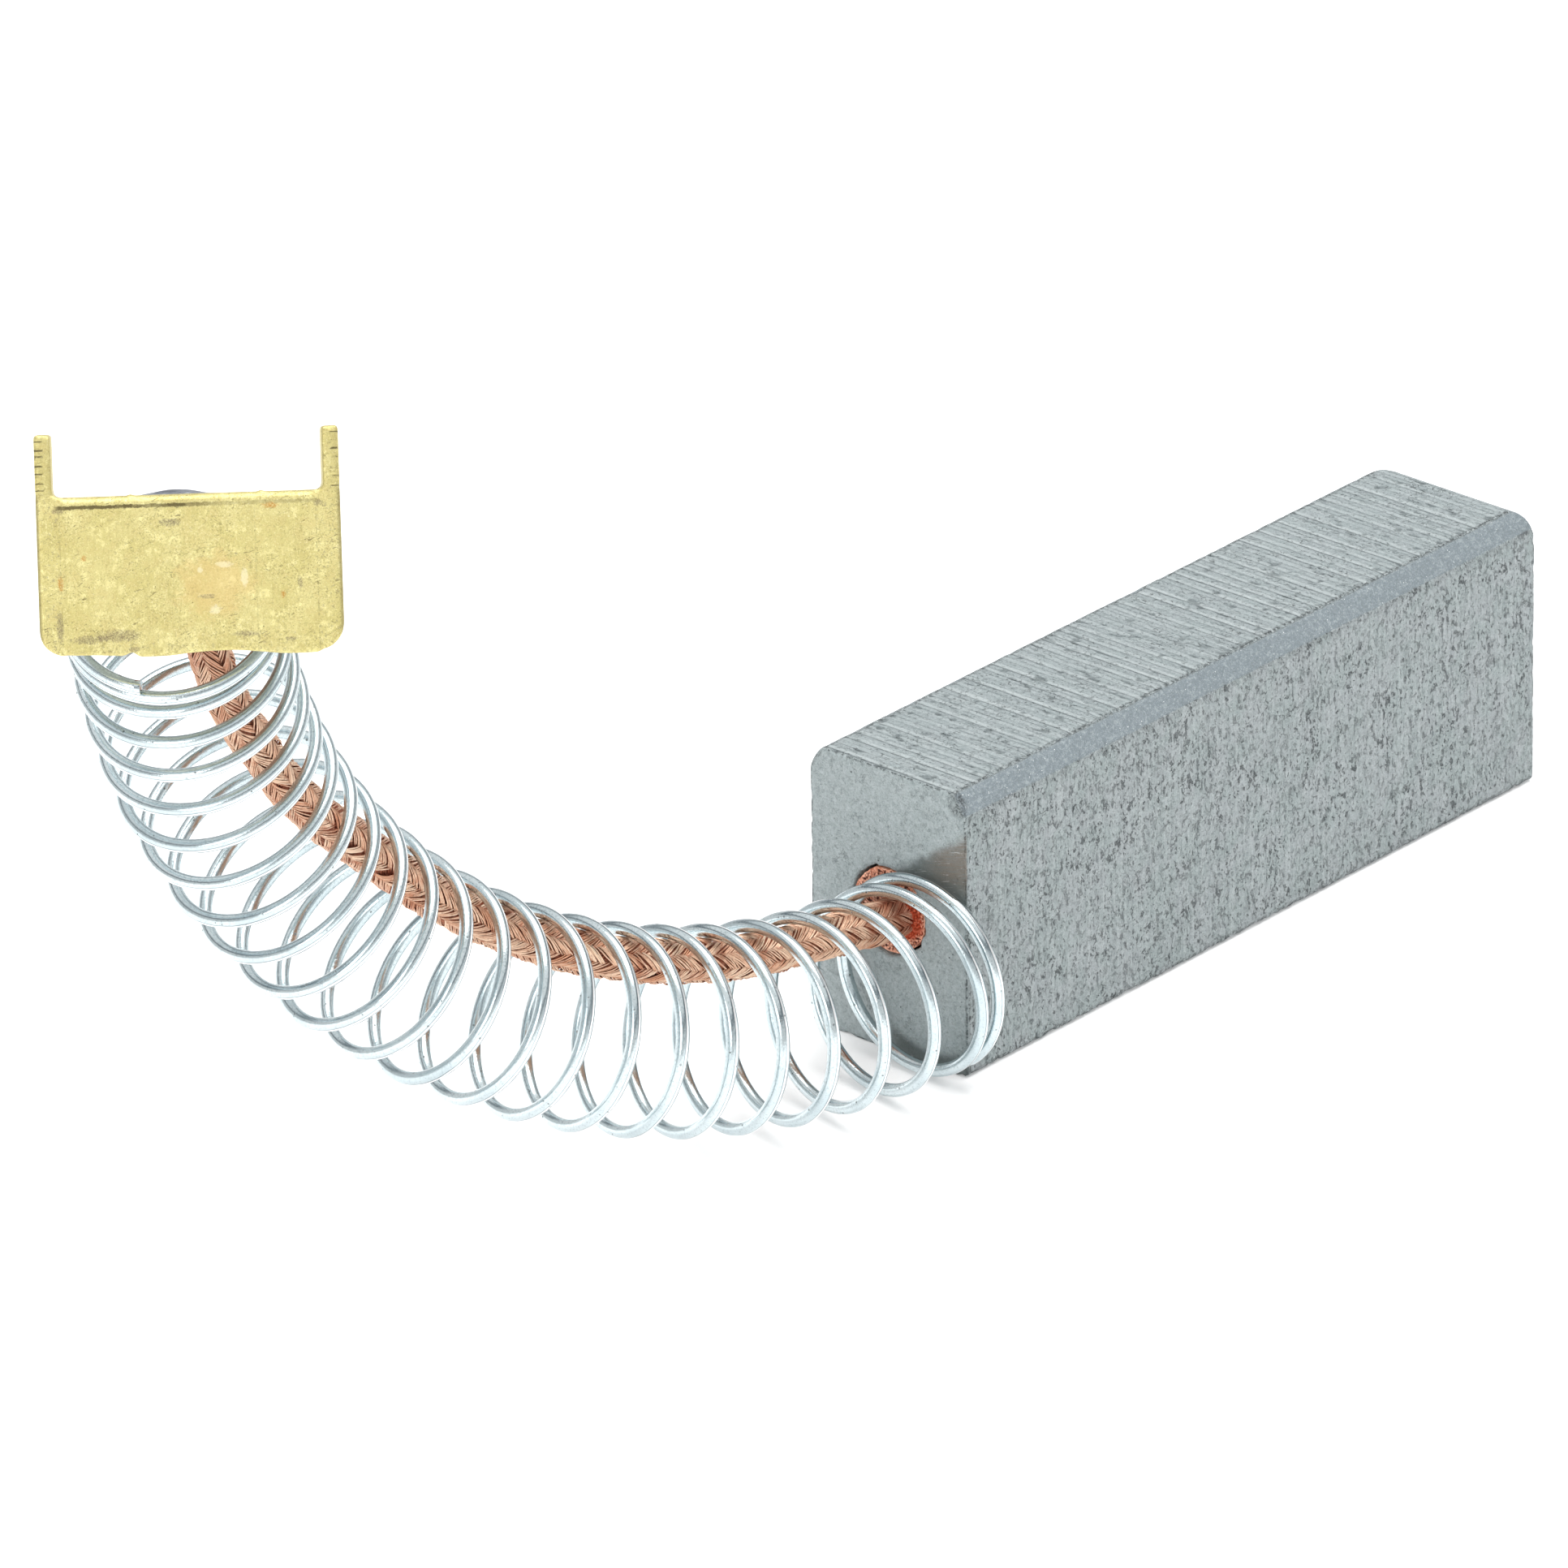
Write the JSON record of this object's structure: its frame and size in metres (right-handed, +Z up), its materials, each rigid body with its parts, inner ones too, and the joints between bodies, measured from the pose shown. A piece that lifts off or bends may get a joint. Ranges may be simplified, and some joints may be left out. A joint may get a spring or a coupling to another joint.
{
  "type": "carbon brush",
  "caption": "Carbon brush with a bevelled graphite block, a braided copper shunt inside a bent coil spring, and a folded brass cap terminal with two ears.",
  "frame": {"origin": "middle of the block's underside, the face that it stands on", "axes": "+X along the block toward the running face, +Y across the block's thickness, +Z up from the underside"},
  "size_m": [0.0659, 0.0124, 0.033],
  "materials": {
    "carbon": "ground matte graphite",
    "tamped_copper": "rough tamped powder",
    "copper_braid": "tarnished braid",
    "spring_wire": "drawn bright",
    "brass_sheet": "dull speckled",
    "solder": "dull"
  },
  "bodies": {
    "root": {"carbon_block": "carbon", "copper_plug": "tamped_copper", "shunt": "copper_braid", "spring": "spring_wire", "terminal": "brass_sheet", "solder": "solder"}
  },
  "joints": []
}
